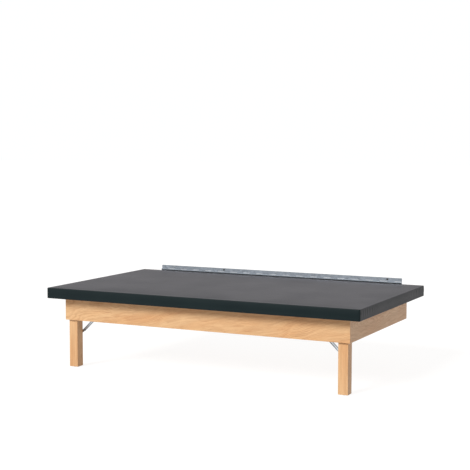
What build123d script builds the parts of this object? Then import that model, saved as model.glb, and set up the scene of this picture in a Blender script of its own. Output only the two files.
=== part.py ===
from build123d import *
import os
from math import atan2, cos, degrees, hypot, radians, sin

os.makedirs("parts", exist_ok=True)

# Wall-mounted folding mat platform. Millimetres, +Z up. Origin on the floor, midway along
# the platform and midway between the mat's front face and the wall. +Y points at the wall.

# ---- Mat (deck board, foam and vinyl cover) ----
MAT_LENGTH = 2133.6
MAT_DEPTH = 1219.2
MAT_TOP_Z = 523.0
MAT_CORNER_R = 9.0
MAT_EDGE_R = 7.0
VINYL_T = 1.0
DECK_T = 18.0
DECK_BOTTOM_Z = 455.0
VINYL_RETURN = 34.0

# ---- Wall hinge ----
LEAF_T = 2.5
WALL_HINGE_LENGTH = 1828.8
KNUCKLE_PITCH = 50.8
KNUCKLE_GAP = 0.8
BARREL_R = 6.35
HINGE_BORE_R = 3.2
HINGE_PIN_R = 3.15
BARREL_ABOVE_MAT = 7.0
WALL_LEAF_RISE = 37.5
STUD_PITCH = 406.4
STUD_HOLE_R = 5.2
STUD_HOLE_RISE = 26.5
PLATFORM_LEAF_DROP = 31.0
LEAF_SCREW_DROP = 19.0
LEAF_SCREW_PITCH = 101.6
BATTEN_DEPTH = 40.0
BATTEN_H = 40.0

# ---- Frame under the deck ----
FRONT_OVERHANG = 80.0
SIDE_OVERHANG = 88.0
REAR_OVERHANG = 92.0
APRON_T = 16.0
APRON_H = 145.0
APRON_EDGE_R = 1.5
JOIST_X = 330.0
JOIST_H = 60.0
CLEAT = 20.0
DOWEL_R = 5.0
DOWEL_IN_FACE = 12.0
DOWEL_IN_END = 26.0
BLOCK_LEG = 60.0
BLOCK_NOSE = 12.0
BRACKET_T = 2.0
BRACKET_LEG = 28.0
BRACKET_H = 44.0

# ---- Folding legs ----
LEG_SIZE = 62.0
LEG_GAP = 0.5
LEG_TOP_GAP = 1.0
LEG_EDGE_R = 2.0
GLIDE_T = 4.0
GLIDE_R = 18.0
LEG_AXIS_S = 4.4
LEG_AXIS_Z = 450.0
BUTT_LEAF_T = 2.0
BUTT_LEAF_LENGTH = 40.0
BUTT_BARREL_R = 4.0
BUTT_BORE_R = 1.95
BUTT_PIN_R = 1.9
BUTT_WIDTH = 50.0
BUTT_KNUCKLES = 5

# ---- Folding stays: S is measured inward from the leg's inner face, Z up ----
STAY_LEG_PIVOT = (-39.4, 201.9)
STAY_KNUCKLE = (7.5, 235.7)
STAY_DECK_PIVOT = (162.2, 384.2)
STAY_T = 3.0
STAY_W = 18.0
LOWER_LINK_W = 16.0
UPPER_LINK_T = 3.2
GROOVE_DEPTH = 2.2
GROOVE_HALF_W = 5.1
GROOVE_NEAR = 122.0
STUD_R = 2.5
STUD_PLAY = 0.3
PIVOT_R = 3.0
PIVOT_BORE_R = 3.05
PLANE_A = 1.0
PLANE_B = 4.5
PLANE_C = 8.0

# ---- Derived positions ----
Y_FRONT = -(MAT_DEPTH + LEAF_T) / 2
Y_REAR = Y_FRONT + MAT_DEPTH
Y_WALL = Y_REAR + LEAF_T
Y_MAT_MID = (Y_FRONT + Y_REAR) / 2
BARREL_Y = Y_WALL - BARREL_R
BARREL_Z = MAT_TOP_Z + BARREL_ABOVE_MAT
FRAME_X = MAT_LENGTH / 2 - SIDE_OVERHANG
FRAME_Y0 = Y_FRONT + FRONT_OVERHANG
FRAME_Y1 = Y_REAR - REAR_OVERHANG
INNER_X = FRAME_X - APRON_T
INNER_Y0 = FRAME_Y0 + APRON_T
INNER_Y1 = FRAME_Y1 - APRON_T
APRON_BOTTOM = DECK_BOTTOM_Z - APRON_H
FOAM_BOTTOM = DECK_BOTTOM_Z + DECK_T
LEG_OUTER_X = INNER_X - LEG_GAP
LEG_INNER_X = LEG_OUTER_X - LEG_SIZE
LEG_Y0 = INNER_Y0 + LEG_GAP
LEG_Y1 = LEG_Y0 + LEG_SIZE
LEG_TOP = DECK_BOTTOM_Z - LEG_TOP_GAP
BUTT_Y0 = LEG_Y0 + (LEG_SIZE - BUTT_WIDTH) / 2


def block(x0, x1, y0, y1, z0, z1):
    """Rectangular solid between two corners."""
    centre = Pos((x0 + x1) / 2, (y0 + y1) / 2, (z0 + z1) / 2)
    return centre * Box(abs(x1 - x0), abs(y1 - y0), abs(z1 - z0))


def rod(p, axis, length, r):
    """Cylinder that starts at p and runs along axis ('x', 'y' or 'z')."""
    turn = {"x": (0, 90, 0), "y": (-90, 0, 0), "z": (0, 0, 0)}[axis]
    body = Cylinder(r, length, align=(Align.CENTER, Align.CENTER, Align.MIN))
    return Pos(*p) * Rot(*turn) * body


def fillet_along(solid, axis, r, keep=None):
    """Round the straight edges that run along an axis, or those that keep() accepts."""
    edges = solid.edges().filter_by(axis)
    return fillet(edges if keep is None else edges.filter_by(keep), r)


def wood_screw(p, towards, length, r=2.0, head_r=4.0):
    """Countersunk screw with its flat head flush at p, pointing along a unit vector."""
    head = Cone(head_r, r, head_r - r, align=(Align.CENTER, Align.CENTER, Align.MIN))
    shank = Cylinder(r, length - r, align=(Align.CENTER, Align.CENTER, Align.MIN))
    tip = Cone(r, r / 4, r, align=(Align.CENTER, Align.CENTER, Align.MIN))
    screw = head + shank + Pos(0, 0, length - r) * tip
    return Plane(origin=p, z_dir=towards) * screw


def spread(start, stop, count):
    """Evenly spaced positions with a half step left at each end."""
    step = (stop - start) / count
    return [start + step * (i + 0.5) for i in range(count)]


def seat(solid, fasteners):
    """Cut the seats of a list of fasteners out of a solid."""
    for item in fasteners:
        solid = solid - item
    return solid


def mirrored(shape):
    """The same piece on the other side of the platform."""
    return mirror(shape, about=Plane.YZ)


# ---- Wall hinge ----
def knuckle_spans():
    """Start and end of every knuckle of the long hinge, from left to right."""
    count = round(WALL_HINGE_LENGTH / KNUCKLE_PITCH)
    x0 = -WALL_HINGE_LENGTH / 2
    half_gap = KNUCKLE_GAP / 2
    for i in range(count):
        a = x0 + i * KNUCKLE_PITCH + (half_gap if i else 0)
        b = x0 + (i + 1) * KNUCKLE_PITCH - (half_gap if i < count - 1 else 0)
        yield i, a, b


def long_leaf(z_edge, parity):
    """One leaf of the long hinge: a plate with every second knuckle on it."""
    side = 1 if z_edge > BARREL_Z else -1
    half = WALL_HINGE_LENGTH / 2
    leaf = block(-half, half, Y_WALL - LEAF_T, Y_WALL, BARREL_Z, z_edge)
    clear = BARREL_R + KNUCKLE_GAP
    tools = []
    knuckles = []
    for i, a, b in knuckle_spans():
        if i % 2 == parity:
            knuckles.append(rod((a, BARREL_Y, BARREL_Z), "x", b - a, BARREL_R))
        else:
            z_stop = BARREL_Z + side * clear
            tools.append(
                block(a - KNUCKLE_GAP, b + KNUCKLE_GAP, BARREL_Y, Y_WALL + 1, BARREL_Z - side, z_stop)
            )
    leaf = leaf - tools + knuckles
    bore = rod((-half - 1, BARREL_Y, BARREL_Z), "x", WALL_HINGE_LENGTH + 2, HINGE_BORE_R)
    return leaf - bore


wall_leaf = long_leaf(MAT_TOP_Z + WALL_LEAF_RISE, 0)
stud_holes = [
    rod((STUD_PITCH * i, Y_WALL - LEAF_T - 1, MAT_TOP_Z + STUD_HOLE_RISE), "y", LEAF_T + 2, STUD_HOLE_R)
    for i in range(-2, 3)
]
wall_leaf = wall_leaf - stud_holes
wall_pin = rod((-WALL_HINGE_LENGTH / 2, BARREL_Y, BARREL_Z), "x", WALL_HINGE_LENGTH, HINGE_PIN_R)

leaf_screws = [
    wood_screw((x, Y_WALL, MAT_TOP_Z - LEAF_SCREW_DROP), (0, -1, 0), 32)
    for x in spread(-WALL_HINGE_LENGTH / 2, WALL_HINGE_LENGTH / 2,
                    round(WALL_HINGE_LENGTH / LEAF_SCREW_PITCH))
]
platform_leaf = seat(long_leaf(MAT_TOP_Z - PLATFORM_LEAF_DROP, 1), leaf_screws)


# ---- Mat ----
def mat_slab(inset, z0, z1, edge_r):
    """Rounded slab, set in from the mat's outline, with its top edges rounded."""
    outline = RectangleRounded(
        MAT_LENGTH - 2 * inset, MAT_DEPTH - 2 * inset, MAT_CORNER_R - inset
    )
    slab = Pos(0, Y_MAT_MID, z0) * extrude(outline, z1 - z0)
    if edge_r:
        slab = fillet(slab.faces().sort_by(Axis.Z)[-1].edges(), edge_r)
    return slab


batten_y0 = Y_REAR - VINYL_T - BATTEN_DEPTH
batten_half = WALL_HINGE_LENGTH / 2
batten = block(
    -batten_half, batten_half, batten_y0, Y_REAR - VINYL_T, FOAM_BOTTOM, FOAM_BOTTOM + BATTEN_H
)
foam = mat_slab(VINYL_T, FOAM_BOTTOM, MAT_TOP_Z - VINYL_T, MAT_EDGE_R - VINYL_T) - batten
deck = mat_slab(VINYL_T, DECK_BOTTOM_Z, FOAM_BOTTOM, 0)

cover_bottom = DECK_BOTTOM_Z - VINYL_T
cover = mat_slab(0, cover_bottom, MAT_TOP_Z, MAT_EDGE_R)
cover = cover - mat_slab(VINYL_T, DECK_BOTTOM_Z, MAT_TOP_Z - VINYL_T, MAT_EDGE_R - VINYL_T)
half_open = MAT_LENGTH / 2 - VINYL_RETURN
cover = cover - block(
    -half_open, half_open, Y_FRONT + VINYL_RETURN, Y_REAR - VINYL_RETURN,
    cover_bottom - 1, DECK_BOTTOM_Z + 1,
)


def staple(x, y, along_x):
    """Upholstery staple under the cover's turned-in edge, its legs up in the deck."""
    crown, wire, leg = 12.0, 1.0, 9.0
    z = cover_bottom
    dx, dy = (crown / 2, wire / 2) if along_x else (wire / 2, crown / 2)
    body = block(x - dx, x + dx, y - dy, y + dy, z - wire, z)
    for s in (-1, 1):
        cx = x + s * (dx - wire / 2) if along_x else x
        cy = y if along_x else y + s * (dy - wire / 2)
        body = body + block(cx - wire / 2, cx + wire / 2, cy - wire / 2, cy + wire / 2, z - wire, z + leg)
    return body


STAPLE_INSET = 20.0
staples = []
for x in spread(-MAT_LENGTH / 2 + 40, MAT_LENGTH / 2 - 40, 20):
    for y in (Y_FRONT + STAPLE_INSET, Y_REAR - STAPLE_INSET):
        staples.append(staple(x, y, True))
for y in spread(Y_FRONT + 40, Y_REAR - 40, 11):
    for x in (-MAT_LENGTH / 2 + STAPLE_INSET, MAT_LENGTH / 2 - STAPLE_INSET):
        staples.append(staple(x, y, False))
staples = Compound(children=staples)
cover = cover - staples
deck = deck - staples

batten = seat(batten, leaf_screws)
cover = seat(cover, leaf_screws)


# ---- Frame ----
def apron_board(x0, x1, y0, y1, axis):
    """Frame board on edge, with its two bottom edges eased."""
    board = block(x0, x1, y0, y1, APRON_BOTTOM, DECK_BOTTOM_Z)
    return fillet_along(
        board, axis, APRON_EDGE_R, lambda e: e.center().Z < APRON_BOTTOM + APRON_H / 2
    )


front_apron = apron_board(-FRAME_X, FRAME_X, FRAME_Y0, INNER_Y0, Axis.X)
rear_apron = apron_board(-FRAME_X, FRAME_X, INNER_Y1, FRAME_Y1, Axis.X)
right_apron = apron_board(INNER_X, FRAME_X, INNER_Y0, INNER_Y1, Axis.Y)

dowels = []
for y_face, way in ((INNER_Y0, 1), (INNER_Y1, -1)):
    for z in (APRON_BOTTOM + APRON_H * 0.25, APRON_BOTTOM + APRON_H * 0.75):
        y0 = min(y_face - way * DOWEL_IN_FACE, y_face + way * DOWEL_IN_END)
        dowels.append(
            rod((FRAME_X - APRON_T / 2, y0, z), "y", DOWEL_IN_FACE + DOWEL_IN_END, DOWEL_R)
        )
left_dowels = [mirrored(d) for d in dowels]
right_apron = seat(right_apron, dowels)
left_apron = mirrored(right_apron)

block_outline = Polyline(
    (0, 0), (BLOCK_LEG, 0), (BLOCK_LEG, BLOCK_NOSE), (BLOCK_NOSE, BLOCK_LEG), (0, BLOCK_LEG), (0, 0)
)
corner_block = extrude(make_face(block_outline), APRON_H - 25)
left_block = Pos(-INNER_X, INNER_Y1, APRON_BOTTOM + 25) * mirror(corner_block, about=Plane.XZ)
corner_blocks = [left_block, mirrored(left_block)]


def joist(x):
    """Cross joist on edge under the deck, between the front and rear boards."""
    return block(
        x - APRON_T / 2, x + APRON_T / 2, INNER_Y0, INNER_Y1, DECK_BOTTOM_Z - JOIST_H, DECK_BOTTOM_Z
    )


def joist_bracket(x_face, out, y_face, way):
    """Steel angle between a joist's side (facing out) and the inside of a frame board."""
    z0 = DECK_BOTTOM_Z - JOIST_H + 6
    z1 = z0 + BRACKET_H
    y_a, y_b = sorted((y_face, y_face + way * BRACKET_T))
    on_board = block(x_face, x_face + out * BRACKET_LEG, y_a, y_b, z0, z1)
    y_a, y_b = sorted((y_face, y_face + way * BRACKET_LEG))
    on_joist = block(x_face, x_face + out * BRACKET_T, y_a, y_b, z0, z1)
    screws = []
    for z in (z0 + 11, z1 - 11):
        mid = BRACKET_LEG * 0.6
        screws.append(
            wood_screw((x_face + out * mid, y_face + way * BRACKET_T, z), (0, -way, 0), 15, 1.6, 3.4)
        )
        screws.append(
            wood_screw((x_face + out * BRACKET_T, y_face + way * mid, z), (-out, 0, 0), 15, 1.6, 3.4)
        )
    return seat(on_board + on_joist, screws), screws


joists = {}
brackets = []
bracket_screws = []
for name, x, out in (("left", -JOIST_X, -1), ("right", JOIST_X, 1)):
    joists[name] = joist(x)
    for y_face, way in ((INNER_Y0, 1), (INNER_Y1, -1)):
        angle, screws = joist_bracket(x + out * APRON_T / 2, out, y_face, way)
        brackets.append(angle)
        bracket_screws += screws
    joists[name] = seat(joists[name], bracket_screws)

# Cleats: strips screwed up into the deck and out into the frame boards. None runs where a
# folded leg or a stay passes.
CLEAT_Z0 = DECK_BOTTOM_Z - CLEAT
SIDE_CLEAT_Y0 = LEG_Y1 + 40.0
CLEAT_END_GAP = 4.0
cleats = []
cleat_screws = []
x_in = JOIST_X - APRON_T / 2 - CLEAT_END_GAP
x_out0 = JOIST_X + APRON_T / 2 + BRACKET_LEG + CLEAT_END_GAP
x_out1 = INNER_X - BLOCK_LEG - CLEAT_END_GAP
y_rows = [
    (INNER_Y0, 1, -x_in, x_in, 3),
    (INNER_Y1, -1, -x_in, x_in, 3),
    (INNER_Y1, -1, x_out0, x_out1, 3),
    (INNER_Y1, -1, -x_out1, -x_out0, 3),
]
for y_face, way, x0, x1, count in y_rows:
    cleats.append(block(x0, x1, y_face, y_face + way * CLEAT, CLEAT_Z0, DECK_BOTTOM_Z))
    for x in spread(x0, x1, count):
        cleat_screws.append(wood_screw((x, y_face + way * CLEAT / 2, CLEAT_Z0), (0, 0, 1), 34))
        side_p = (x + 30, y_face + way * CLEAT, CLEAT_Z0 + CLEAT / 2)
        cleat_screws.append(wood_screw(side_p, (0, -way, 0), 32))
side_y1 = INNER_Y1 - BLOCK_LEG - CLEAT_END_GAP
for side in (-1, 1):
    x_face = side * INNER_X
    cleats.append(block(x_face, x_face - side * CLEAT, SIDE_CLEAT_Y0, side_y1, CLEAT_Z0, DECK_BOTTOM_Z))
    for y in spread(SIDE_CLEAT_Y0, side_y1, 4):
        cleat_screws.append(wood_screw((x_face - side * CLEAT / 2, y, CLEAT_Z0), (0, 0, 1), 34))
        side_p = (x_face - side * CLEAT, y + 30, CLEAT_Z0 + CLEAT / 2)
        cleat_screws.append(wood_screw(side_p, (side, 0, 0), 32))
cleat_screw_group = Compound(children=cleat_screws)
cleat_group = Compound(children=cleats) - cleat_screw_group


# ---- Right leg, its butt hinge and its stay. S runs inward, so X = LEG_INNER_X - S ----
def right_x(s):
    return LEG_INNER_X - s


leg = block(LEG_INNER_X, LEG_OUTER_X, LEG_Y0, LEG_Y1, GLIDE_T, LEG_TOP)
leg = fillet_along(leg, Axis.Z, LEG_EDGE_R)
leg_mid_x = (LEG_INNER_X + LEG_OUTER_X) / 2
leg_mid_y = (LEG_Y0 + LEG_Y1) / 2
glide = rod((leg_mid_x, leg_mid_y, 0), "z", GLIDE_T, GLIDE_R)
glide = fillet(glide.edges().sort_by(Axis.Z)[0], 1.5)
glide = glide + rod((leg_mid_x, leg_mid_y, GLIDE_T), "z", 22, 3.0)


def butt_knuckles(parity):
    """Knuckles of the leg hinge, and the spans that belong to the other leaf."""
    pitch = BUTT_WIDTH / BUTT_KNUCKLES
    own, other = [], []
    for i in range(BUTT_KNUCKLES):
        a = BUTT_Y0 + i * pitch + (0.25 if i else 0)
        b = BUTT_Y0 + (i + 1) * pitch - (0.25 if i < BUTT_KNUCKLES - 1 else 0)
        (own if i % 2 == parity else other).append((a, b))
    return own, other


def butt_leaf(on_deck):
    """Leaf of the leg hinge: flat under the deck, or down the leg's inner face."""
    own, other = butt_knuckles(0 if on_deck else 1)
    axis_x = right_x(LEG_AXIS_S)
    clear = BUTT_BARREL_R + 0.6
    y1 = BUTT_Y0 + BUTT_WIDTH
    if on_deck:
        z0 = DECK_BOTTOM_Z - BUTT_LEAF_T
        leaf = block(axis_x - BUTT_LEAF_LENGTH, axis_x, BUTT_Y0, y1, z0, DECK_BOTTOM_Z)
    else:
        x0 = LEG_INNER_X - BUTT_LEAF_T
        leaf = block(x0, LEG_INNER_X, BUTT_Y0, y1, LEG_AXIS_Z - BUTT_LEAF_LENGTH, LEG_AXIS_Z)
    for a, b in other:
        if on_deck:
            cut = block(axis_x - clear, axis_x + 1, a - 0.25, b + 0.25, z0 - 1, DECK_BOTTOM_Z + 1)
        else:
            cut = block(x0 - 1, LEG_INNER_X + 1, a - 0.25, b + 0.25, LEG_AXIS_Z - clear, LEG_AXIS_Z + 1)
        leaf = leaf - cut
    for a, b in own:
        leaf = leaf + rod((axis_x, a, LEG_AXIS_Z), "y", b - a, BUTT_BARREL_R)
        if on_deck:
            leaf = leaf + block(axis_x - BUTT_BARREL_R, axis_x, a, b, LEG_AXIS_Z, DECK_BOTTOM_Z)
        else:
            leaf = leaf + block(axis_x, LEG_INNER_X, a, b, LEG_AXIS_Z - BUTT_BARREL_R, LEG_AXIS_Z)
    return leaf - rod((axis_x, BUTT_Y0 - 1, LEG_AXIS_Z), "y", BUTT_WIDTH + 2, BUTT_BORE_R)


deck_leaf_screws = [
    wood_screw((right_x(LEG_AXIS_S + s), y, DECK_BOTTOM_Z - BUTT_LEAF_T), (0, 0, 1), 16, 1.8, 3.6)
    for s, y in ((16, leg_mid_y - 15), (16, leg_mid_y + 15), (30, leg_mid_y))
]
leg_leaf_screws = [
    wood_screw((LEG_INNER_X - BUTT_LEAF_T, y, LEG_AXIS_Z - d), (1, 0, 0), 22, 1.8, 3.6)
    for d, y in ((16, leg_mid_y - 15), (16, leg_mid_y + 15), (30, leg_mid_y))
]
deck_leaf = seat(butt_leaf(True), deck_leaf_screws)
leg_leaf = seat(butt_leaf(False), leg_leaf_screws)
butt_pin = rod((right_x(LEG_AXIS_S), BUTT_Y0, LEG_AXIS_Z), "y", BUTT_WIDTH, BUTT_PIN_R)


def stay_y(plane):
    """Depth of a plane behind the leg's rear face."""
    return LEG_Y1 + plane


def flat_bar(p, q, width, y0, thick=STAY_T):
    """Flat bar with round ends, from p to q in the (S, Z) plane, thickened towards the wall."""
    length = hypot(q[0] - p[0], q[1] - p[1])
    angle = degrees(atan2(q[1] - p[1], q[0] - p[0]))
    profile = SlotCenterToCenter(length, width)
    face_up = Pos((p[0] + q[0]) / 2, (p[1] + q[1]) / 2, 0) * Rot(0, 0, angle) * profile
    bar = extrude(face_up, thick)
    # The sketch plane's X is S, which runs against X here, and its Y is Z.
    return Plane(origin=(LEG_INNER_X, y0, 0), x_dir=(-1, 0, 0), z_dir=(0, 1, 0)) * bar


def stay_rod(p, plane0, plane1, r):
    """Round piece across the stay, at a point given as (S, Z)."""
    return rod((right_x(p[0]), stay_y(plane0), p[1]), "y", plane1 - plane0, r)


def stay_cone(p, plane0, plane1, r0, r1):
    """Cone across the stay whose radius is r0 at plane0 and r1 at plane1."""
    cone = Cone(r0, r1, plane1 - plane0, align=(Align.CENTER, Align.CENTER, Align.MIN))
    return Pos(right_x(p[0]), stay_y(plane0), p[1]) * Rot(-90, 0, 0) * cone


# Lower link, on a countersunk shoulder screw in the leg's rear face.
A1 = PLANE_A + STAY_T
B1 = PLANE_B + UPPER_LINK_T
C1 = PLANE_C + STAY_T
SINK_R, SINK_DEPTH, SINK_CLEAR = 5.6, 2.0, 0.3
lower_link = flat_bar(STAY_LEG_PIVOT, STAY_KNUCKLE, LOWER_LINK_W, stay_y(PLANE_A))
lower_link = lower_link - stay_rod(STAY_LEG_PIVOT, PLANE_A - 1, A1 + 1, PIVOT_BORE_R)
lower_link = lower_link - stay_cone(
    STAY_LEG_PIVOT, A1 - SINK_DEPTH - SINK_CLEAR, A1, PIVOT_BORE_R, SINK_R + SINK_CLEAR
)
leg_pivot = stay_rod(STAY_LEG_PIVOT, -28, A1 - 0.1, PIVOT_R)
leg_pivot = leg_pivot + stay_rod(STAY_LEG_PIVOT, 0, PLANE_A - 0.2, 8.0)
leg_pivot = leg_pivot + stay_cone(STAY_LEG_PIVOT, A1 - SINK_DEPTH, A1 - 0.1, PIVOT_R, SINK_R)

# Knuckle stud: riveted into the lower link, its end runs in the upper link's blind groove. The
# pivots at the links' far ends keep it in.
knuckle_stud = stay_rod(STAY_KNUCKLE, PLANE_A, PLANE_B + GROOVE_DEPTH - 0.2, STUD_R)
lower_link = lower_link - stay_rod(STAY_KNUCKLE, PLANE_A - 1, A1 + 1, STUD_R)

# Upper link: bar from the deck bracket to the knuckle, grooved on the side of the lower link.
reach = hypot(STAY_KNUCKLE[0] - STAY_DECK_PIVOT[0], STAY_KNUCKLE[1] - STAY_DECK_PIVOT[1])
unit = (
    (STAY_KNUCKLE[0] - STAY_DECK_PIVOT[0]) / reach,
    (STAY_KNUCKLE[1] - STAY_DECK_PIVOT[1]) / reach,
)


def on_stay(d):
    """Point at distance d from the deck pivot, down along the upper link."""
    return (STAY_DECK_PIVOT[0] + unit[0] * d, STAY_DECK_PIVOT[1] + unit[1] * d)


groove_far = reach + STUD_R + STUD_PLAY - GROOVE_HALF_W
upper_link = flat_bar(STAY_DECK_PIVOT, on_stay(groove_far), STAY_W, stay_y(PLANE_B), UPPER_LINK_T)
groove = flat_bar(
    on_stay(GROOVE_NEAR), on_stay(groove_far), 2 * GROOVE_HALF_W, stay_y(PLANE_B), GROOVE_DEPTH
)
upper_link = upper_link - groove
upper_link = upper_link - stay_rod(STAY_DECK_PIVOT, PLANE_B - 1, B1 + 1, PIVOT_BORE_R)

# Bracket that hangs from the deck behind the upper link, and its rivet.
BRACKET_HALF_W = 18.0
bs = STAY_DECK_PIVOT[0]
hanger = block(
    right_x(bs - BRACKET_HALF_W), right_x(bs + BRACKET_HALF_W),
    stay_y(PLANE_C), stay_y(C1), STAY_DECK_PIVOT[1] - 14, DECK_BOTTOM_Z,
)
hanger = fillet_along(
    hanger, Axis.Y, 12.0, lambda e: e.center().Z < STAY_DECK_PIVOT[1]
)
foot = block(
    right_x(bs - BRACKET_HALF_W), right_x(bs + BRACKET_HALF_W),
    stay_y(PLANE_C), stay_y(PLANE_C + 34), DECK_BOTTOM_Z - STAY_T, DECK_BOTTOM_Z,
)
deck_rivet = stay_rod(STAY_DECK_PIVOT, PLANE_B - 2.0, C1 + 1.5, PIVOT_R)
deck_rivet = deck_rivet + stay_rod(STAY_DECK_PIVOT, PLANE_B - 2.0, PLANE_B - 0.2, 7.0)
deck_rivet = deck_rivet + stay_rod(STAY_DECK_PIVOT, C1, C1 + 1.5, 6.0)
stay_bracket_screws = [
    wood_screw((right_x(bs + ds), stay_y(PLANE_C + 22), DECK_BOTTOM_Z - STAY_T), (0, 0, 1), 18)
    for ds in (-10, 10)
]
stay_bracket = seat(hanger + foot - deck_rivet, stay_bracket_screws)

leg = seat(leg, leg_leaf_screws)
leg = leg - leg_pivot - glide

# ---- Seats in the deck and the frame boards for the fasteners ----
deck_fasteners = deck_leaf_screws + stay_bracket_screws
deck_fasteners = deck_fasteners + [mirrored(s) for s in deck_fasteners]
deck = seat(deck, deck_fasteners) - cleat_screw_group
frame_fasteners = Compound(children=bracket_screws)
front_apron = seat(front_apron, dowels + left_dowels) - frame_fasteners - cleat_screw_group
rear_apron = seat(rear_apron, dowels + left_dowels) - frame_fasteners - cleat_screw_group
right_apron = right_apron - cleat_screw_group
left_apron = left_apron - cleat_screw_group

pieces = {
    "wall_hinge_leaf": wall_leaf,
    "wall_hinge_pin": wall_pin,
    "platform_hinge_leaf": platform_leaf,
    "hinge_leaf_screws": leaf_screws,
    "hinge_batten": batten,
    "plywood_deck": deck,
    "foam_pad": foam,
    "vinyl_cover": cover,
    "cover_staples": staples,
    "front_apron": front_apron,
    "rear_apron": rear_apron,
    "left_apron": left_apron,
    "right_apron": right_apron,
    "left_cross_joist": joists["left"],
    "right_cross_joist": joists["right"],
    "deck_cleats": cleat_group,
    "cleat_screws": cleat_screw_group,
    "rear_corner_blocks": corner_blocks,
    "corner_dowels": dowels + left_dowels,
    "joist_brackets": brackets,
    "joist_bracket_screws": bracket_screws,
    "leg_hinge_deck_screws": deck_leaf_screws + [mirrored(s) for s in deck_leaf_screws],
    "stay_bracket_screws": stay_bracket_screws + [mirrored(s) for s in stay_bracket_screws],
}
handed = {
    "leg": leg,
    "leg_glide": glide,
    "leg_hinge_deck_leaf": deck_leaf,
    "leg_hinge_leg_leaf": leg_leaf,
    "leg_hinge_pin": butt_pin,
    "leg_hinge_leg_screws": leg_leaf_screws,
    "stay_leg_pivot": leg_pivot,
    "stay_lower_link": lower_link,
    "stay_knuckle_stud": knuckle_stud,
    "stay_upper_link": upper_link,
    "stay_deck_bracket": stay_bracket,
    "stay_deck_rivet": deck_rivet,
}
for name, shape in handed.items():
    both = shape if isinstance(shape, list) else [shape]
    pieces["right_" + name] = shape
    pieces["left_" + name] = [mirrored(s) for s in both]

for name, shape in pieces.items():
    if isinstance(shape, list):
        shape = shape[0] if len(shape) == 1 else Compound(children=list(shape))
    export_step(shape, f"parts/{name}.step")
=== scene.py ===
import math

import bmesh
import bpy
from mathutils import Matrix, Vector, kdtree, noise


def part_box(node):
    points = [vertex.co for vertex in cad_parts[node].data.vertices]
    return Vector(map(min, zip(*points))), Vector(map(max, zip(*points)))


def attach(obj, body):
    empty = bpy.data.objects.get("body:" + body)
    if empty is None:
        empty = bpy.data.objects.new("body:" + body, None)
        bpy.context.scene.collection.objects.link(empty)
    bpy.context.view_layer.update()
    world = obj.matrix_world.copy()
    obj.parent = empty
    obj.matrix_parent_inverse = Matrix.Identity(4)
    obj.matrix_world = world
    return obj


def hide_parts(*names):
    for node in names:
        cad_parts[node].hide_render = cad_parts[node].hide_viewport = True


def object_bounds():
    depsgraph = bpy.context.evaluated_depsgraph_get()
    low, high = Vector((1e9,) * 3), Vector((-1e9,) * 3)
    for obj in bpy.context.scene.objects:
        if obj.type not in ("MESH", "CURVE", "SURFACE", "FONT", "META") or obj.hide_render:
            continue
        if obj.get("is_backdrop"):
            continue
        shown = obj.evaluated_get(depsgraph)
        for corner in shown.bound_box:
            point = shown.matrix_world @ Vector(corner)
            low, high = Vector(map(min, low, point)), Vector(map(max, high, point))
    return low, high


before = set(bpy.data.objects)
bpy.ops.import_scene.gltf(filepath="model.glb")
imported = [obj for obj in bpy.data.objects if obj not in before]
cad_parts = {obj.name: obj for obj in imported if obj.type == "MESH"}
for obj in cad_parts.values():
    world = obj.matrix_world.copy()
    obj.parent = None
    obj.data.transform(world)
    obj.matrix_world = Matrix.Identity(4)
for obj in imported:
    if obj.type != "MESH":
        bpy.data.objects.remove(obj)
CAD_LO, CAD_HI = (list(v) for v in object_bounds())

# ---------------------------------------------------------------- camera
# The angles (rad) and the place (m) of the reference view, in the part's own frame.
YAW, PITCH, ROLL = 0.45903, 0.08210, 0.00195
CAM_AT = (3.2494, -6.6132, 1.4646)
LENS_MM, SENSOR_MM = 87.41106, 36.0

fwd = Vector((-math.sin(YAW) * math.cos(PITCH), math.cos(YAW) * math.cos(PITCH), -math.sin(PITCH)))
right = Vector((math.cos(YAW), math.sin(YAW), 0))
up = right.cross(fwd)
cam_x = right * math.cos(ROLL) + up * math.sin(ROLL)
cam_y = up * math.cos(ROLL) - right * math.sin(ROLL)
cam_data = bpy.data.cameras.new("camera")
cam_data.lens = LENS_MM
cam_data.sensor_width = SENSOR_MM
cam_data.clip_start, cam_data.clip_end = 0.1, 200
cam = bpy.data.objects.new("camera", cam_data)
bpy.context.collection.objects.link(cam)
cam.matrix_world = Matrix(
    [[cam_x[i], cam_y[i], -fwd[i], CAM_AT[i]] for i in range(3)] + [[0, 0, 0, 1]]
)
bpy.context.scene.camera = cam
bpy.context.scene.view_settings.view_transform = "Standard"


# ---------------------------------------------------------------- helpers
MM = 0.001


def mesh_object(name, bm):
    """Turn a bmesh into a linked object, with its faces pointing outward."""
    bmesh.ops.recalc_face_normals(bm, faces=bm.faces)
    mesh = bpy.data.meshes.new(name)
    bm.to_mesh(mesh)
    bm.free()
    obj = bpy.data.objects.new(name, mesh)
    bpy.context.collection.objects.link(obj)
    return obj


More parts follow.
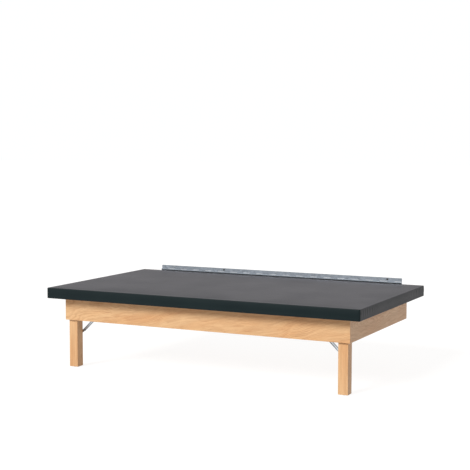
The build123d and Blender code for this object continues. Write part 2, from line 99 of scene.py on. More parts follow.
class Graph:
    """A material's node tree, with short ways to add and join nodes."""

    def __init__(self, name):
        self.mat = bpy.data.materials.new(name)
        self.mat.use_nodes = True
        self.tree = self.mat.node_tree
        self.tree.nodes.clear()
        self.out = self.add("ShaderNodeOutputMaterial")
        self.bsdf = self.add("ShaderNodeBsdfPrincipled")
        self.link(self.bsdf.outputs[0], self.out.inputs[0])

    def add(self, kind, **props):
        node = self.tree.nodes.new(kind)
        for key, value in props.items():
            setattr(node, key, value)
        return node

    def link(self, a, b):
        if hasattr(a, "is_output"):
            self.tree.links.new(a, b)
        else:
            b.default_value = a

    def vmath(self, op, a, b=None, scale=None):
        node = self.add("ShaderNodeVectorMath", operation=op)
        self.link(a, node.inputs[0])
        if b is not None:
            self.link(b, node.inputs[1])
        if scale is not None:
            self.link(scale, node.inputs[3])
        return node.outputs[1] if op in ("LENGTH", "DISTANCE", "DOT_PRODUCT") else node.outputs[0]

    def math(self, op, a, b=0.0, clamp=False):
        node = self.add("ShaderNodeMath", operation=op, use_clamp=clamp)
        self.link(a, node.inputs[0])
        self.link(b, node.inputs[1])
        return node.outputs[0]

    def noise(self, vector, scale, detail=3.0, rough=0.5):
        node = self.add("ShaderNodeTexNoise")
        self.link(vector, node.inputs["Vector"])
        node.inputs["Scale"].default_value = scale
        node.inputs["Detail"].default_value = detail
        node.inputs["Roughness"].default_value = rough
        return node

    def coords(self):
        return self.add("ShaderNodeTexCoord").outputs["Object"]

    def parts(self, vector):
        node = self.add("ShaderNodeSeparateXYZ")
        self.link(vector, node.inputs[0])
        return node.outputs

    def stretched(self, vector, stretch, detail, rough):
        """Noise level, with the pattern squeezed by `stretch` along each axis."""
        squeezed = self.vmath("MULTIPLY", vector, stretch)
        return self.noise(squeezed, 1.0, detail, rough).outputs["Fac"]

    def sway(self, colour, reach):
        """Turn a noise colour into an offset to either side, up to half of `reach`."""
        return self.vmath("SCALE", self.vmath("SUBTRACT", colour, grey(0.5)), scale=reach)

    def ramp(self, fac, stops):
        node = self.add("ShaderNodeValToRGB")
        self.link(fac, node.inputs[0])
        elements = node.color_ramp.elements
        while len(elements) < len(stops):
            elements.new(0.5)
        for element, (at, colour) in zip(elements, stops):
            element.position = at
            element.color = (*colour, 1) if len(colour) == 3 else colour
        return node.outputs[0]

    def remap(self, value, a, b, c, d):
        node = self.add("ShaderNodeMapRange")
        self.link(value, node.inputs[0])
        for i, v in enumerate((a, b, c, d)):
            node.inputs[i + 1].default_value = v
        return node.outputs[0]

    def mix(self, fac, a, b, blend="MIX"):
        node = self.add("ShaderNodeMix", data_type="RGBA", blend_type=blend)
        self.link(fac, node.inputs[0])
        self.link(a, node.inputs[6])
        self.link(b, node.inputs[7])
        return node.outputs[2]

    def bump(self, height, distance, strength=1.0, below=None):
        node = self.add("ShaderNodeBump")
        node.inputs["Strength"].default_value = strength
        node.inputs["Distance"].default_value = distance
        self.link(height, node.inputs["Height"])
        if below is not None:
            self.link(below, node.inputs["Normal"])
        return node.outputs[0]

    def set(self, **sockets):
        for name, value in sockets.items():
            self.link(value, self.bsdf.inputs[name.replace("_", " ")])


def grey(v):
    return (v, v, v)


# ---------------------------------------------------------------- wood
# Rotations that turn a piece's grain direction onto X.
GRAIN = {"x": (0, 0, 0), "y": (0, 0, -math.pi / 2), "z": (0, math.pi / 2, 0)}
LIGHT, DARK = (0.580, 0.378, 0.203), (0.325, 0.160, 0.066)
RUDDY = (1.0, 0.87, 0.76, 1)
PORE_FALL = (0.5, 0.45, 0.4)
SEED_STEP = 1.37
# How dark the wood is across one growth ring, from its start to its end.
RING_TONES = [(0.0, grey(0.55)), (0.12, grey(0.06)), (0.50, grey(0.22)), (0.84, grey(0.80)),
              (1.0, grey(0.62))]


def wood(name, grain, seed, pith, light, dark, ring=0.0062, slant=0.0, wander=1.0):
    """Flat-sawn oak. Growth rings lie round a pith line beside the board, which wanders along
    its length, so the wide faces show long slanting arches and the ends show rings. Less
    wander gives a straighter grain."""
    g = Graph(name)
    turn = g.add("ShaderNodeMapping")
    g.link(g.coords(), turn.inputs["Vector"])
    turn.inputs["Rotation"].default_value = GRAIN[grain]
    turn.inputs["Location"].default_value = (seed * SEED_STEP, pith[0], pith[1])
    lean = g.add("ShaderNodeMapping")
    g.link(turn.outputs[0], lean.inputs["Vector"])
    lean.inputs["Rotation"].default_value = (0, slant, 0)
    v = lean.outputs[0]
    slow = g.noise(g.vmath("MULTIPLY", v, (1.8, 3.0, 3.0)), 1.0, 2.0, 0.5)
    drift = g.sway(slow.outputs["Color"], 0.16 * wander)
    ripple = g.noise(g.vmath("MULTIPLY", v, (17, 30, 30)), 1.0, 3.0, 0.55)
    wave = g.sway(ripple.outputs["Color"], 0.013 * wander)
    bent = g.vmath("ADD", g.vmath("ADD", v, drift), wave)
    radius = g.vmath("LENGTH", g.vmath("MULTIPLY", bent, (0, 1, 1)))
    band = g.ramp(g.math("FRACT", g.math("DIVIDE", radius, ring)), RING_TONES)
    streak = g.stretched(bent, (3.2, 95, 95), 3.0, 0.6)
    fibre = g.stretched(v, (14, 560, 560), 2.0, 0.6)
    pores = g.stretched(v, (40, 1400, 1400), 2.0, 0.6)
    fleck = g.remap(pores, 0.60, 0.74, 0.0, 1.0)
    tone = g.stretched(v, (2.2, 13, 13), 3.0, 0.55)
    figure = g.math("MULTIPLY", band, g.remap(tone, 0.35, 0.65, 0.32, 0.74))
    coarse = g.remap(streak, 0.32, 0.68, -0.16, 0.30)
    fine = g.remap(fibre, 0.3, 0.7, -0.10, 0.12)
    share = g.math("ADD", figure, g.math("ADD", coarse, fine), clamp=True)
    colour = g.mix(share, (*light, 1), (*dark, 1))
    ruddy = g.mix(1.0, colour, RUDDY, "MULTIPLY")
    colour = g.mix(g.remap(tone, 0.40, 0.68, 0.0, 0.75), colour, ruddy)
    pore_colour = [level * fall for level, fall in zip(dark, PORE_FALL)]
    colour = g.mix(g.math("MULTIPLY", fleck, 0.32), colour, (*pore_colour, 1))
    grainy = g.math("SUBTRACT", g.math("MULTIPLY", fibre, 0.6), g.math("MULTIPLY", fleck, 0.6))
    g.set(Base_Color=colour, Roughness=g.remap(share, 0.0, 1.0, 0.42, 0.52),
          Normal=g.bump(grainy, 0.14 * MM, 0.5))
    g.bsdf.inputs["Specular IOR Level"].default_value = 0.36
    g.bsdf.inputs["Coat Weight"].default_value = 0.08
    g.bsdf.inputs["Coat Roughness"].default_value = 0.30
    return g.mat


PLY_T = 3.6 * MM
EDGE_SKIN = 1 * MM
ARCHES = 26.0
VENEER_LIGHT, VENEER_DARK = (0.500, 0.338, 0.196, 1), (0.330, 0.188, 0.094, 1)
PLY_LIGHT, PLY_DARK = (0.46, 0.32, 0.19, 1), (0.28, 0.17, 0.09, 1)
ARCH_TONES = [(0.0, grey(0.85)), (0.16, grey(0.10)), (0.60, grey(0.28)), (1.0, grey(0.85))]
PLY_TONES = [(0.0, grey(0.0)), (0.48, grey(0.0)), (0.52, grey(1.0)), (1.0, grey(1.0))]


def plywood(name, lo, hi):
    """Rotary-cut face veneer above and below, and the stacked plies on the four edges."""
    g = Graph(name)
    coord = g.coords()
    height = g.math("SUBTRACT", g.parts(coord)[2], lo[2])
    ply = g.math("FRACT", g.math("DIVIDE", height, PLY_T))
    wander = g.noise(g.vmath("MULTIPLY", coord, (9, 22, 22)), 1.0, 3.0, 0.55)
    bent = g.vmath("ADD", coord, g.sway(wander.outputs["Color"], 0.016))
    hills = g.stretched(bent, (0.75, 3.6, 3.6), 1.0, 0.4)
    figure = g.ramp(g.math("FRACT", g.math("MULTIPLY", hills, ARCHES)), ARCH_TONES)
    streak = g.stretched(bent, (4, 70, 70), 4.0, 0.6)
    pores = g.stretched(coord, (26, 900, 900), 2.0, 0.6)
    broad = g.stretched(coord, (1.2, 5, 5), 2.0, 0.5)
    coarse = g.remap(streak, 0.3, 0.7, -0.20, 0.30)
    strands = g.math("ADD", coarse, g.remap(pores, 0.58, 0.72, 0.0, 0.30))
    rings = g.math("MULTIPLY", figure, g.remap(broad, 0.3, 0.7, 0.35, 0.85))
    share = g.math("ADD", rings, strands, clamp=True)
    veneer = g.mix(share, VENEER_LIGHT, VENEER_DARK)
    edge = g.mix(g.ramp(ply, PLY_TONES), PLY_LIGHT, PLY_DARK)
    middle = [(a + b) / 2 for a, b in zip(lo, hi)]
    away = g.parts(g.vmath("ABSOLUTE", g.vmath("SUBTRACT", coord, middle)))
    at_end = g.math("GREATER_THAN", away[0], (hi[0] - lo[0]) / 2 - EDGE_SKIN)
    at_side = g.math("GREATER_THAN", away[1], (hi[1] - lo[1]) / 2 - EDGE_SKIN)
    g.set(Base_Color=g.mix(g.math("MAXIMUM", at_end, at_side), veneer, edge),
          Roughness=g.remap(streak, 0.3, 0.7, 0.52, 0.66), Normal=g.bump(streak, 0.2 * MM, 0.5))
    return g.mat


# ---------------------------------------------------------------- metal
BARREL_LEVEL, BARREL_ROUGHER = 0.50, 0.12
# Painted levels: the outer surface a little darker, and the floor inside a groove painted brighter
# as a painted highlight.
PAINTED_GROOVE_HIGHLIGHT_LEVELS = (0.85, 1.75)


def zinc(name, base, rough, brush, spangle=0.0, barrel=None, inner=None):
    """Zinc-plated steel: rolled streaks along one axis, faint spangle, patchy roughness. A
    barrel, given as (y, z, radius) along X, is duller than the plate beside it. Behind the
    plane Y = `inner`, on the groove floor, the colour carries a painted highlight."""
    g = Graph(name)
    coord = g.coords()
    streak = g.stretched(coord, brush, 3.0, 0.6)
    patch = g.noise(coord, 55.0, 3.0, 0.6).outputs["Fac"]
    cells = g.add("ShaderNodeTexVoronoi")
    g.link(coord, cells.inputs["Vector"])
    cells.inputs["Scale"].default_value = 240.0
    cell_level = g.math("SUBTRACT", g.parts(cells.outputs["Color"])[0], 0.5)
    rolled = g.remap(streak, 0.3, 0.7, 0.86, 1.06)
    level = g.math("ADD", rolled, g.remap(patch, 0.3, 0.7, -0.07, 0.05))
    level = g.math("ADD", level, g.math("MULTIPLY", cell_level, spangle))
    roughness = g.remap(patch, 0.3, 0.7, rough - 0.07, rough + 0.09)
    if barrel:
        y, z, r = barrel
        across = g.vmath("MULTIPLY", g.vmath("SUBTRACT", coord, (0, y, z)), (0, 1, 1))
        dull = g.math("LESS_THAN", g.vmath("LENGTH", across), r)
        level = g.math("MULTIPLY", level, g.remap(dull, 0.0, 1.0, 1.0, BARREL_LEVEL))
        roughness = g.math("ADD", roughness, g.math("MULTIPLY", dull, BARREL_ROUGHER))
    # Painted highlight: the groove floor behind the plane Y = inner is painted brighter, and the
    # face in front a little darker.
    if inner is not None:
        painted_highlight_mask = g.math("GREATER_THAN", g.parts(coord)[1], inner)
        level = g.math("MULTIPLY", level, g.remap(painted_highlight_mask, 0.0, 1.0, *PAINTED_GROOVE_HIGHLIGHT_LEVELS))
    relief = g.math("ADD", streak, g.math("MULTIPLY", patch, 0.5))
    g.set(Base_Color=g.vmath("SCALE", base, scale=level), Roughness=roughness,
          Normal=g.bump(relief, 0.06 * MM, 0.6))
    g.bsdf.inputs["Metallic"].default_value = 0.92
    return g.mat


# ---------------------------------------------------------------- vinyl, foam, plastic
VINYL_DEEP, VINYL_FADED = (0.0025, 0.0085, 0.0100, 1), (0.0045, 0.0120, 0.0135, 1)
VINYL_VALLEY_SHADE = (0.0015, 0.004, 0.005, 1)
FOAM_PALE, FOAM_YELLOW = (0.78, 0.74, 0.60, 1), (0.68, 0.62, 0.46, 1)
BLACK_PLASTIC, GREY_PLASTIC = (0.018, 0.018, 0.019), (0.20, 0.225, 0.25)


def vinyl(name):
    """Charcoal upholstery vinyl: a pebbled grain with painted shade in its valleys, faint creases,
    slightly uneven sheen.
    """
    g = Graph(name)
    coord = g.coords()
    cells = g.add("ShaderNodeTexVoronoi", feature="SMOOTH_F1")
    warp = g.noise(coord, 420.0, 2.0, 0.5)
    shifted = g.vmath("ADD", coord, g.sway(warp.outputs["Color"], 1.2 * MM))
    g.link(shifted, cells.inputs["Vector"])
    cells.inputs["Scale"].default_value = 700.0
    pebble = cells.outputs["Distance"]
    fine = g.noise(coord, 1900.0, 2.0, 0.6).outputs["Fac"]
    crease = g.stretched(coord, (26, 40, 60), 4.0, 0.62)
    broad = g.noise(coord, 3.2, 3.0, 0.5).outputs["Fac"]
    tint = g.mix(g.remap(broad, 0.3, 0.7, 0.0, 1.0), VINYL_DEEP, VINYL_FADED)
    # Painted shade: the colour darkens towards the valleys of the pebble grain.
    tint = g.mix(g.remap(pebble, 0.2, 0.8, 0.0, 0.35), tint, VINYL_VALLEY_SHADE)
    height = g.math("ADD", g.math("MULTIPLY", pebble, -1.0), g.math("MULTIPLY", fine, 0.25))
    skin = g.bump(height, 0.2 * MM, 0.35)
    worn = g.remap(broad, 0.3, 0.7, 0.44, 0.52)
    g.set(Base_Color=tint, Roughness=g.math("ADD", worn, g.remap(fine, 0.3, 0.7, -0.03, 0.04)),
          Normal=g.bump(crease, 0.8 * MM, 0.30, skin))
    g.bsdf.inputs["Specular IOR Level"].default_value = 0.10
    g.bsdf.inputs["Sheen Weight"].default_value = 0.140
    g.bsdf.inputs["Sheen Roughness"].default_value = 0.45
    g.bsdf.inputs["Sheen Tint"].default_value = (0.96, 0.88, 1.0, 1)
    return g.mat


def foam(name):
    """Open-cell foam."""
    g = Graph(name)
    coord = g.coords()
    cells = g.add("ShaderNodeTexVoronoi")
    g.link(coord, cells.inputs["Vector"])
    cells.inputs["Scale"].default_value = 900.0
    tone = g.noise(coord, 30.0, 3.0).outputs["Fac"]
    g.set(Base_Color=g.mix(g.remap(tone, 0.3, 0.7, 0, 1), FOAM_PALE, FOAM_YELLOW),
          Roughness=g.remap(tone, 0.3, 0.7, 0.85, 0.95),
          Normal=g.bump(cells.outputs["Distance"], 0.6 * MM, 0.7))
    return g.mat


def plastic(name, base=BLACK_PLASTIC):
    """Moulded plastic with a fine spark-eroded texture and paler scuffs."""
    g = Graph(name)
    coord = g.coords()
    fine = g.noise(coord, 2600.0, 2.0).outputs["Fac"]
    scuff = g.noise(coord, 140.0, 4.0, 0.65).outputs["Fac"]
    scuffed = [v * 1.2 + 0.028 for v in base]
    g.set(Base_Color=g.mix(g.remap(scuff, 0.45, 0.75, 0, 1), (*base, 1), (*scuffed, 1)),
          Roughness=g.remap(scuff, 0.3, 0.7, 0.42, 0.6), Normal=g.bump(fine, 0.06 * MM, 0.6))
    return g.mat


# ---------------------------------------------------------------- materials onto the CAD nodes
pin_lo, pin_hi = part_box("wall_hinge_pin")
BARREL = ((pin_lo[1] + pin_hi[1]) / 2, (pin_lo[2] + pin_hi[2]) / 2, 6.6 * MM)
RAIL = zinc("rail_zinc", (0.295, 0.330, 0.375), 0.40, (6, 900, 900), 0.10, BARREL)
link_lo, link_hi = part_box("left_stay_upper_link")
LINK_MIDDLE = (link_lo[1] + link_hi[1]) / 2
STAY_ZINC = ((0.34, 0.37, 0.40), 0.34, (200, 200, 200), 0.06)
STAY = zinc("stay_zinc", *STAY_ZINC)
# The upper links carry a painted highlight on the floor of their groove.
GROOVED = zinc("grooved_stay_zinc_painted_highlight", *STAY_ZINC, inner=LINK_MIDDLE)
BRACKET = zinc("bracket_zinc", (0.42, 0.45, 0.48), 0.38, (160, 160, 160), 0.12)
SCREW = zinc("screw_zinc", (0.50, 0.51, 0.52), 0.30, (500, 500, 500), 0.0)

materials = {
    "front_apron": wood("wood_front", "x", 1.0, (0.640, -0.300), LIGHT, DARK, 0.0075, 0.22),
    "rear_apron": wood("wood_rear", "x", 2.3, (-0.43, -0.40), LIGHT, DARK),
    "left_apron": wood("wood_left", "y", 3.1, (-1.05, -0.36), LIGHT, DARK),
    "right_apron": wood("wood_right", "y", 4.2, (1.05, -0.41), LIGHT, DARK),
    "left_leg": wood("wood_left_leg", "z", 5.5, (0.47, -0.86), LIGHT, DARK, 0.0050, wander=0.3),
    "right_leg": wood("wood_right_leg", "z", 6.4, (0.45, 1.02), LIGHT, DARK, 0.0050, wander=0.3),
    "left_cross_joist": wood("wood_left_joist", "y", 7.7, (-0.30, -0.38), LIGHT, DARK),
    "right_cross_joist": wood("wood_right_joist", "y", 8.8, (0.35, -0.47), LIGHT, DARK),
    "deck_cleats": wood("wood_cleats", "x", 9.1, (0.03, -0.40), LIGHT, DARK),
    "rear_corner_blocks": wood("wood_blocks", "z", 10.6, (-0.4, 0.9), LIGHT, DARK),
    "corner_dowels": wood("wood_dowels", "y", 11.2, (0.02, -0.02), LIGHT, DARK),
    "hinge_batten": wood("wood_batten", "x", 12.5, (-0.5, -0.5), LIGHT, DARK),
    "plywood_deck": plywood("plywood", *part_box("plywood_deck")),
    "foam_pad": foam("foam"),
    "wall_hinge_leaf": RAIL,
    "platform_hinge_leaf": RAIL,
    "wall_hinge_pin": SCREW,
    "joist_brackets": BRACKET,
}
BY_ENDING = [
    ("_leg_glide", plastic("glide_plastic")),
    ("_deck_leaf", BRACKET),
    ("_leg_leaf", BRACKET),
    ("_lower_link", STAY),
    ("_upper_link", GROOVED),
    ("_deck_bracket", STAY),
]
for node_name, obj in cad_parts.items():
    mat = materials.get(node_name)
    if mat is None:
        mat = next((m for end, m in BY_ENDING if node_name.endswith(end)), SCREW)
    for s in obj.material_slots:
        s.material = mat

# ---------------------------------------------------------------- upholstered mat
mat_lo, mat_hi = (Vector(v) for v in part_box("vinyl_cover"))
HX, HY = (mat_hi.x - mat_lo.x) / 2, (mat_hi.y - mat_lo.y) / 2
CX, CY = (mat_hi.x + mat_lo.x) / 2, (mat_hi.y + mat_lo.y) / 2
Z0, Z1 = mat_lo.z, mat_hi.z
DECK_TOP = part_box("plywood_deck")[1][2]
CORNER_R = 6 * MM
EDGE_R = 5.5 * MM
HEM_R = 2.5 * MM
RETURN = 34 * MM
CROWN = 3.0 * MM
CROWN_REACH = 70 * MM
EDGE_DROP = 0.5 * MM
HAIR = 1e-6


def offsets(half, first, fine, coarse):
    """Line positions along one side: the given insets at both ends, even steps between."""
    start = first[-1]
    count = max(1, round((2 * half - 2 * start) / coarse))
    step = (2 * half - 2 * start) / count
    inner = [-half + start + step * i for i in range(1, count)]
    ends = [-half + a for a in first]
    return ends + inner + [-e for e in reversed(ends)]


def cushion_mesh(name, insets, coarse, profile, top_inset):
    """Closed upholstered slab. The top is a grid of lines, and every ring of the profile
    repeats the grid's outer line further out and lower, with its corners rounded."""
    xs = offsets(HX, [top_inset + a for a in insets], insets, coarse)
    ys = offsets(HY, [top_inset + a for a in insets], insets, coarse)
    nx, ny = len(xs), len(ys)
    bm = bmesh.new()
    grid = [[bm.verts.new((CX + x, CY + y, Z1)) for y in ys] for x in xs]
    loop = [(i, 0) for i in range(nx)] + [(nx - 1, j) for j in range(1, ny)]
    loop += [(i, ny - 1) for i in range(nx - 2, -1, -1)] + [(0, j) for j in range(ny - 2, 0, -1)]
    for i in range(nx - 1):
        for j in range(ny - 1):
            bm.faces.new((grid[i][j], grid[i + 1][j], grid[i + 1][j + 1], grid[i][j + 1]))
    rings = [[grid[i][j] for i, j in loop]]
    for inset, z in profile:
        ring = []
        for i, j in loop:
            x, y = xs[i], ys[j]
            x = math.copysign(HX - inset, x) if i in (0, nx - 1) else x
            y = math.copysign(HY - inset, y) if j in (0, ny - 1) else y
            cx = max(-HX + CORNER_R, min(HX - CORNER_R, x))
            cy = max(-HY + CORNER_R, min(HY - CORNER_R, y))
            d = Vector((x - cx, y - cy))
            if inset < CORNER_R and abs(x - cx) > 0 and abs(y - cy) > 0:
                d = d.normalized() * (CORNER_R - inset)
            ring.append(bm.verts.new((CX + cx + d.x, CY + cy + d.y, z)))
        rings.append(ring)
    for a, b in zip(rings, rings[1:]):
        for k in range(len(loop)):
            m = (k + 1) % len(loop)
            bm.faces.new((a[k], b[k], b[m], a[m]))
    last = rings[-1]
    # Close the inside against the deck: one long quad per grid step, and a face at each end.
    at = {ij: last[k] for k, ij in enumerate(loop)}
    for i in range(1, nx - 2):
        bm.faces.new((at[i, 0], at[i, ny - 1], at[i + 1, ny - 1], at[i + 1, 0]))
    left = [at[1, 0], at[0, 0]] + [at[0, j] for j in range(1, ny)] + [at[1, ny - 1]]
    right_end = [at[nx - 2, ny - 1], at[nx - 1, ny - 1]]
    right_end += [at[nx - 1, j] for j in range(ny - 2, -1, -1)] + [at[nx - 2, 0]]
    bm.faces.new(left)
    bm.faces.new(right_end)
    return mesh_object(name, bm)


def arc(cx, cz, r, a0, a1, steps):
    """Points of an arc in the (inset, height) plane; inset grows inward."""
    out = []
    for k in range(steps + 1):
        a = math.radians(a0 + (a1 - a0) * k / steps)
        out.append((cx - r * math.cos(a), cz + r * math.sin(a)))
    return out


INNER = 1.6 * MM
HEM_T = 0.8 * MM
SIDE_STEPS = 9
profile = arc(EDGE_R, Z1 - EDGE_R, EDGE_R, 75, 0, 5)
side_top, side_bottom = Z1 - EDGE_R, Z0 + HEM_R
profile += [(0, side_top + (side_bottom - side_top) * k / SIDE_STEPS)
            for k in range(1, SIDE_STEPS)]
profile += arc(HEM_R, Z0 + HEM_R, HEM_R, 0, -90, 4)
profile += [(8 * MM, Z0), (14 * MM, Z0), (20 * MM, Z0), (27 * MM, Z0), (RETURN, Z0)]
profile += [(RETURN, Z0 + HEM_T), (INNER, Z0 + HEM_T), (INNER, DECK_TOP + 0.4 * MM)]
EDGE_LINES = [v * MM for v in (0, 1.2, 2.4, 3.6, 5, 6.5, 8, 10, 12.5, 16, 20, 25, 31)]
EDGE_LINES += [(38 + 7 * k) * MM for k in range(41)]
cushion = cushion_mesh("upholstered_mat", EDGE_LINES, 11 * MM, profile, EDGE_R)


def smooth(t):
    t = max(0.0, min(1.0, t))
    return t * t * (3 - 2 * t)


def rough3(p, scale, seed):
    return noise.noise(Vector((p.x * scale + seed, p.y * scale - seed, p.z * scale + 2 * seed)))


CLOTH_LINES = [v * MM for v in (0, 14, 30)]
CLOTH_GRID = 18 * MM
REACH = 40 * MM
SPREAD = 14 * MM
PRESSURE = 4
FRAMES = 20


def pressed_skin():
    """Blow up a coarse copy of the pad as cloth, fixed to the deck board below the foam, and
    return its points and how far each has moved."""
    span = Z1 - EDGE_R - Z0
    walls = [(0, Z1 - EDGE_R - span * k / 4) for k in range(1, 4)]
    outline = [(0, Z1 - EDGE_R)] + walls + [(1 * MM, Z0), (18 * MM, Z0), (RETURN, Z0)]
    outline += [(RETURN, Z0 + HEM_T), (INNER, Z0 + HEM_T), (INNER, DECK_TOP)]
    pad = cushion_mesh("pad_cloth", CLOTH_LINES, CLOTH_GRID, outline, EDGE_R)
    held = [v.index for v in pad.data.vertices if v.co.z < DECK_TOP + 4 * MM]
    pad.vertex_groups.new(name="held").add(held, 1.0, "REPLACE")
    start = [v.co.copy() for v in pad.data.vertices]
    cloth = pad.modifiers.new("cloth", "CLOTH")
    cloth.settings.quality = 5
    cloth.settings.vertex_group_mass = "held"
    cloth.settings.use_pressure = True
    cloth.settings.uniform_pressure_force = PRESSURE
    cloth.settings.effector_weights.gravity = 0
    cloth.point_cache.frame_start, cloth.point_cache.frame_end = 1, FRAMES
    for number in range(1, FRAMES + 1):
        bpy.context.scene.frame_set(number)
    blown = pad.evaluated_get(bpy.context.evaluated_depsgraph_get()).data
    moves = [v.co - start[v.index] for v in blown.vertices]
    bpy.data.objects.remove(pad)
    bpy.context.scene.frame_set(1)
    return start, moves


def soft_cap(value, cap):
    return cap * math.tanh(value / cap)


lift_at = {}
points, moves = pressed_skin()
tree = kdtree.KDTree(len(points))
for index, point in enumerate(points):
    tree.insert(point, index)
tree.balance()
for v in cushion.data.vertices:
    total, weights = Vector((0, 0, 0)), 0.0
    for _, index, gap in tree.find_range(v.co, REACH):
        weight = math.exp(-((gap / SPREAD) ** 2))
        total += moves[index] * weight
        weights += weight
    if weights:
        lift_at[v.index] = total / weights

FOLD_AT = CORNER_R + 3.5 * MM
FOLD_DEPTH, FOLD_RIDGE = 1.1 * MM, 0.5 * MM
PLEAT_PITCH = 34 * MM
PLEAT_MEAN = 0.64
PLEAT_ON_ENDS, PLEAT_ON_LONG = 1.9 * MM, 0.5 * MM
PLEAT_FROM_END = 0.13
SIDE_FULL, SIDE_PINCH, SIDE_CAP = 0.8 * MM, 0.35 * MM, 0.9 * MM
QUICK_REACH = 85 * MM
BARREL_CLEAR = 45 * MM
UNEVEN = 0.22 * MM
for v in cushion.data.vertices:
    p = v.co
    ix, iy = HX - abs(p.x - CX), HY - abs(p.y - CY)
    edge = min(ix, iy)
    blown = lift_at.get(v.index)
    if p.z > Z1 - EDGE_R - HAIR:
        # Top: a low crown that rises fast near the edges and is almost flat beyond. The
        # simulation, or a formula without it, says where it rises, and CROWN says how far.
        if blown is None:
            rise = 1 - math.exp(-max(edge, 0) / QUICK_REACH)
        else:
            rise = math.tanh(max(blown.z, 0.0) / CROWN_REACH)
        under_barrel = smooth((CY + HY - p.y) / BARREL_CLEAR)
        lift = -EDGE_DROP + (CROWN + EDGE_DROP) * rise * under_barrel
        lift += UNEVEN * rough3(p, 4.0, 3.1) * smooth(edge / (50 * MM))
        share = (p.z - (Z1 - EDGE_R)) / EDGE_R
        p.z += lift * share
    elif p.z > Z0 + HAIR and -HAIR < edge < INNER * 0.5:
        # Side: full against the foam, pulled in a little at the deck board below it.
        t = (p.z - DECK_TOP) / (side_top - DECK_TOP)
        bulge = SIDE_FULL * math.sin(math.pi * smooth(t)) if t > 0 else -SIDE_PINCH
        if blown is not None and t > 0:
            outward = abs(blown.y if iy < ix else blown.x)
            share = smooth(t * 3) * smooth((1 - t) * 3)
            bulge = 0.5 * bulge + soft_cap(outward, SIDE_CAP) * share
        along = p.x if iy < ix else p.y
        from_end = ix if iy < ix else iy
        bulge += UNEVEN * noise.noise(Vector((along * 9, p.z * 30, 1.7)))
        # Pleats, round-backed with sharp valleys, run down from near the stapled corners and
        # die out along each side.
        phase = along * math.pi / PLEAT_PITCH + 1.2 * noise.noise(Vector((along * 11, 0.3, 7.7)))
        depth = PLEAT_ON_ENDS if ix < iy else PLEAT_ON_LONG
        depth *= math.exp(-(((from_end - PLEAT_FROM_END) / PLEAT_FROM_END) ** 2))
        depth *= smooth(t * 4) * smooth((1 - t) * 5)
        bulge += depth * (abs(math.cos(phase)) - PLEAT_MEAN)
        # The fold of the cover at each corner: a sunk line on the long faces.
        if iy < ix:
            bulge -= FOLD_DEPTH * math.exp(-(((ix - FOLD_AT) / (1.3 * MM)) ** 2))
            bulge += FOLD_RIDGE * math.exp(-(((ix - FOLD_AT - 4 * MM) / (2.6 * MM)) ** 2))
            p.y += math.copysign(bulge, p.y - CY)
        else:
            p.x += math.copysign(bulge, p.x - CX)

for poly in cushion.data.polygons:
    poly.use_smooth = True
cushion.data.materials.append(vinyl("charcoal_vinyl"))
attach(cushion, "platform")
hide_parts("vinyl_cover", "foam_pad")

# ---------------------------------------------------------------- stud hole plugs; the black ones are painted shade
RAIL_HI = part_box("wall_hinge_leaf")[1]
LEAF_T = 2.5 * MM
STUD_HOLE_R = 5.2 * MM
STUD_HOLE_Z = Z1 + 26.5 * MM
STUD_PITCH = 406.4 * MM
PLUG_HEAD_R, PLUG_DOME = 7.4 * MM, 1.6 * MM
PLUG_WALL, PLUG_FLOOR = 1.0 * MM, 0.6 * MM
PLUG_TURNS = 40
# Places of the plugs of each colour, in stud pitches from the middle of the rail.
PLUGS = (
    # The black plugs are painted shade: dark caps standing in for the shadow inside two open
    # holes.
    ("black", (-1, 2), plastic("black_plug_painted_shade")),
    ("grey", (-2, 0, 1), plastic("grey_nylon", GREY_PLASTIC)),
)


def hole_plug(name, x):
    """Moulded push-in plug in a stud hole: a low domed head on the front, a hollow stem.
    A black one is painted shade, a dark cap standing in for the shadow in an open hole.
    """
    front = RAIL_HI[1] - LEAF_T
    back = RAIL_HI[1] - 0.2 * MM
    stem = STUD_HOLE_R - 0.1 * MM
    slopes = [math.radians(90 - 10 * k) for k in range(10)]
    section = [(PLUG_HEAD_R * math.cos(a), front - PLUG_DOME * math.sin(a)) for a in slopes]
    section += [(stem, front), (stem, back), (stem - PLUG_WALL, back)]
    section += [(stem - PLUG_WALL, front + PLUG_FLOOR), (0.0, front + PLUG_FLOOR)]
    bm = bmesh.new()
    first = bm.verts.new((x, section[0][1], STUD_HOLE_Z))
    last = bm.verts.new((x, section[-1][1], STUD_HOLE_Z))
    rings = []
    for k in range(PLUG_TURNS):
        a = 2 * math.pi * k / PLUG_TURNS
        ring = [bm.verts.new((x + r * math.cos(a), y, STUD_HOLE_Z + r * math.sin(a)))
                for r, y in section[1:-1]]
        rings.append([first] + ring + [last])
    for k in range(PLUG_TURNS):
        a, b = rings[k], rings[(k + 1) % PLUG_TURNS]
        for i in range(len(section) - 1):
            corners = dict.fromkeys((a[i], a[i + 1], b[i + 1], b[i]))
            bm.faces.new(tuple(corners))
    return mesh_object(name, bm)


for colour, places, finish in PLUGS:
    for number, place in enumerate(places, 1):
        plug = hole_plug(f"stud_hole_plug_{colour}_{number}", place * STUD_PITCH)
        plug.data.materials.append(finish)
        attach(plug, "wall_rail")

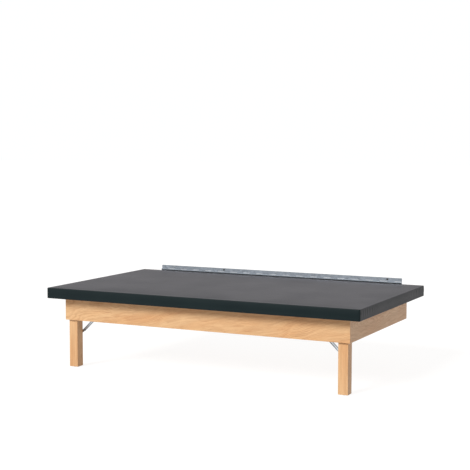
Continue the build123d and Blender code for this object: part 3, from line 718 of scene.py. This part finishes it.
# ---------------------------------------------------------------- floor and light
# The floor glows white to the camera, and dimmer and warmer to light bounced off it.
floor_mesh = bpy.data.meshes.new("floor")
FLOOR = 60.0
FLOOR_GLOW, FLOOR_BOUNCE = 0.90, 0.52
FLOOR_GREY = (0.17, 0.17, 0.17, 1)
WARM, WHITE = (1.0, 0.87, 0.77, 1), (0.98, 0.99, 1.0, 1)
corners = [(-FLOOR, -FLOOR, 0), (FLOOR, -FLOOR, 0), (FLOOR, FLOOR, 0), (-FLOOR, FLOOR, 0)]
floor_mesh.from_pydata(corners, [], [(0, 1, 2, 3)])
floor = bpy.data.objects.new("floor", floor_mesh)
floor.location.z = CAD_LO[2] - 0.5 * MM
bpy.context.collection.objects.link(floor)
fg = Graph("floor_white")
rays = fg.add("ShaderNodeLightPath")
soft = rays.outputs["Is Diffuse Ray"]
fg.set(Base_Color=FLOOR_GREY, Roughness=0.9,
       Emission_Color=fg.mix(soft, (1, 1, 1, 1), WARM),
       Emission_Strength=fg.remap(soft, 0.0, 1.0, FLOOR_GLOW, FLOOR_BOUNCE))
fg.bsdf.inputs["Specular IOR Level"].default_value = 0.1
floor_mesh.materials.append(fg.mat)
floor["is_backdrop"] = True

# The camera sees a white backdrop. Glossy rays get a dimmer one, and all others a warm fill.
FILL, SHINE, BACKDROP = 0.42, 0.79, 1.02
world = bpy.data.worlds.new("world")
bpy.context.scene.world = world
world.use_nodes = True
sky = world.node_tree
sky.nodes.clear()
sky_out = sky.nodes.new("ShaderNodeOutputWorld")
ray = sky.nodes.new("ShaderNodeLightPath")
last_sky = None
for level, kind in ((FILL, None), (SHINE, "Is Glossy Ray"), (BACKDROP, "Is Camera Ray")):
    glow = sky.nodes.new("ShaderNodeBackground")
    glow.inputs[0].default_value = WHITE if kind else WARM
    glow.inputs[1].default_value = level
    if kind is None:
        last_sky = glow.outputs[0]
        continue
    choose = sky.nodes.new("ShaderNodeMixShader")
    sky.links.new(ray.outputs[kind], choose.inputs[0])
    sky.links.new(last_sky, choose.inputs[1])
    sky.links.new(glow.outputs[0], choose.inputs[2])
    last_sky = choose.outputs[0]
sky.links.new(last_sky, sky_out.inputs[0])


def soft_sun(name, towards, strength, spread, colour):
    """Broad, even light from one direction, like a large softbox far away."""
    data = bpy.data.lights.new(name, "SUN")
    data.energy = strength
    data.angle = math.radians(spread)
    data.color = colour
    lamp = bpy.data.objects.new(name, data)
    lamp.rotation_mode = "QUATERNION"
    lamp.rotation_quaternion = (-Vector(towards)).to_track_quat("-Z", "Y")
    bpy.context.collection.objects.link(lamp)


soft_sun("key", (-0.26, -0.80, 0.54), 3.80, 24, (1.0, 0.99, 0.97))
